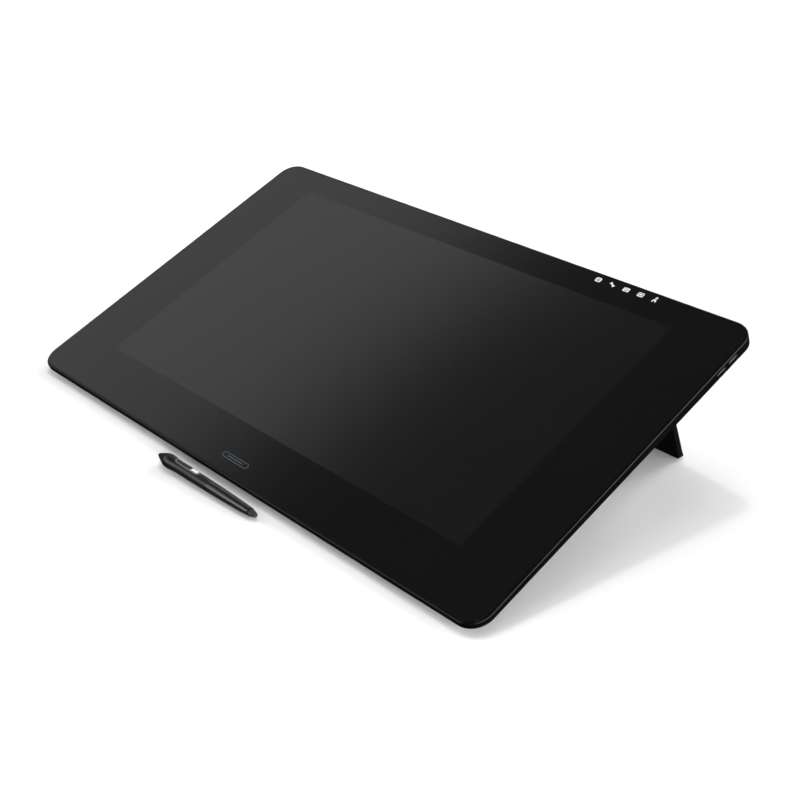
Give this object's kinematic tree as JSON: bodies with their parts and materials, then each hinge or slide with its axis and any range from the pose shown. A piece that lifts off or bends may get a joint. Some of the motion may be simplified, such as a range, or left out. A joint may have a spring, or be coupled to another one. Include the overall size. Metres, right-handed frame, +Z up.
{
  "type": "pen drawing tablet",
  "caption": "Large pen display for drawing: glass-faced slab on fold-out rear legs, with touch keys, side ports, a connector bay, mounting inserts and a separate pressure pen.",
  "frame": {"origin": "bottom centre of the whole set, on the desk: midway along the tablet, and midway between the front of the pen and the rear of the tablet", "axes": "+X to the user's right along the tablet's long side, +Y away from the user, +Z up from the desk"},
  "size_m": [0.677, 0.4003, 0.1437],
  "materials": {
    "glass": "etched, satin, back-printed",
    "black_ink": "opaque print",
    "display": "switched-off display",
    "film": "clear and white optical films",
    "light_guide": "clear acrylic",
    "adhesive": "foam tape",
    "frame": "black anodised, bright cut edge",
    "housing": "fine texture",
    "chassis": "die-cast",
    "steel": "plated",
    "leg": "fine texture",
    "rubber": "matte",
    "screw": "black zinc",
    "brass": "knurled",
    "circuit_board": "solder mask",
    "connector_metal": "nickel",
    "connector_plastic": "moulded",
    "copper": "copper",
    "fan_plastic": "moulded",
    "button": "satin",
    "key_light": "white print",
    "pen_rubber": "matte grip",
    "pen_barrel": "satin",
    "pen_gloss": "polished",
    "pen_bright": "satin silver",
    "nib": "acetal"
  },
  "bodies": {
    "tablet": {"backlight_tray": "steel", "black_mask": "black_ink", "board_screws": "screw", "board_standoffs": "brass", "card_slot": "connector_metal", "chassis_plate": "chassis", "chassis_screws": "screw", "connector_bay": "housing", "cover_glass": "glass", "cover_screws": "screw", "diffuser_sheets": "film", "digitizer_board": "circuit_board", "fan_housings": "fan_plastic", "fin_stacks": "chassis", "front_feet": "rubber", "front_frame": "frame", "glass_adhesive": "adhesive", "heat_pipe": "copper", "heat_spreader": "copper", "hinge_brackets": "steel", "hinge_pins": "steel", "key_board": "circuit_board", "key_windows": "key_light", "lcd_panel": "display", "led_bars": "circuit_board", "leg_wells": "housing", "light_guide": "light_guide", "lock_plate": "steel", "main_board": "circuit_board", "optical_bond": "film", "power_switch_board": "circuit_board", "rear_connectors": "connector_metal", "rear_cover": "housing", "rear_feet": "rubber", "reflector_sheet": "film", "shield_plate": "steel", "touch_sensor": "film", "usb_board_left": "circuit_board", "usb_board_right": "circuit_board", "usb_ports": "connector_metal", "usb_tongues": "connector_plastic", "vesa_inserts": "brass"},
    "leg_right": {"leg_right": "leg", "leg_pad_right": "rubber"},
    "leg_left": {"leg_left": "leg", "leg_pad_left": "rubber"},
    "power_key": {"power_button": "button"},
    "bay_lid": {"connector_cover": "housing"},
    "fan_right": {"fan_impeller_right": "fan_plastic"},
    "fan_left": {"fan_impeller_left": "fan_plastic"},
    "pen": {"pen_nose": "pen_gloss", "pen_grip": "pen_rubber", "pen_barrel": "pen_barrel", "pen_switch_rim": "pen_bright", "pen_tail_ring": "pen_gloss", "pen_board": "circuit_board", "pen_coil": "copper"},
    "pen_tip": {"pen_nib": "nib"},
    "side_switch": {"pen_rocker": "pen_gloss"},
    "tail_key": {"pen_tail_button": "pen_barrel"}
  },
  "joints": [
    {"name": "leg_right_hinge", "type": "hinge", "parent": "tablet", "child": "leg_right", "pos_m": [0.2254, 0.13176, 0.08366], "axis": [1, 0, 0], "range_deg": [-95, 0]},
    {"name": "leg_left_hinge", "type": "hinge", "parent": "tablet", "child": "leg_left", "pos_m": [-0.2254, 0.13176, 0.08366], "axis": [1, 0, 0], "range_deg": [-95, 0]},
    {"name": "power_button_press", "type": "slide", "parent": "tablet", "child": "power_key", "axis": [0, -0.9397, -0.342], "range_m": [0, 0.0005], "stiffness_N_per_m": 800, "springref_m": -0.0006},
    {"name": "connector_cover_lift", "type": "slide", "parent": "tablet", "child": "bay_lid", "axis": [0, 0.2588, -0.9659], "range_m": [0, 0.04]},
    {"name": "fan_right_spin", "type": "hinge", "parent": "tablet", "child": "fan_right", "pos_m": [0.128, 0.09495, 0.08994], "axis": [0, -0.342, 0.9397], "continuous": true},
    {"name": "fan_left_spin", "type": "hinge", "parent": "tablet", "child": "fan_left", "pos_m": [-0.128, 0.09495, 0.08994], "axis": [0, -0.342, 0.9397], "continuous": true},
    {"name": "pen_lift", "type": "slide", "parent": "tablet", "child": "pen", "axis": [0, 0, 1], "range_m": [0, 0.2]},
    {"name": "pen_tip_press", "type": "slide", "parent": "pen", "child": "pen_tip", "axis": [0.9996, 0.0227, -0.0193], "range_m": [0, 0.0006], "stiffness_N_per_m": 600, "springref_m": -0.0006},
    {"name": "side_switch_rock", "type": "hinge", "parent": "pen", "child": "side_switch", "pos_m": [-0.03339, -0.19126, 0.01203], "axis": [-0.0257, 0.9845, -0.1736], "range_deg": [-2.5, 2.5], "stiffness_Nm_per_rad": 0.06},
    {"name": "tail_button_press", "type": "slide", "parent": "pen", "child": "tail_key", "axis": [-0.9996, -0.0227, 0.0193], "range_m": [0, 0.001], "stiffness_N_per_m": 600, "springref_m": -0.0006}
  ]
}
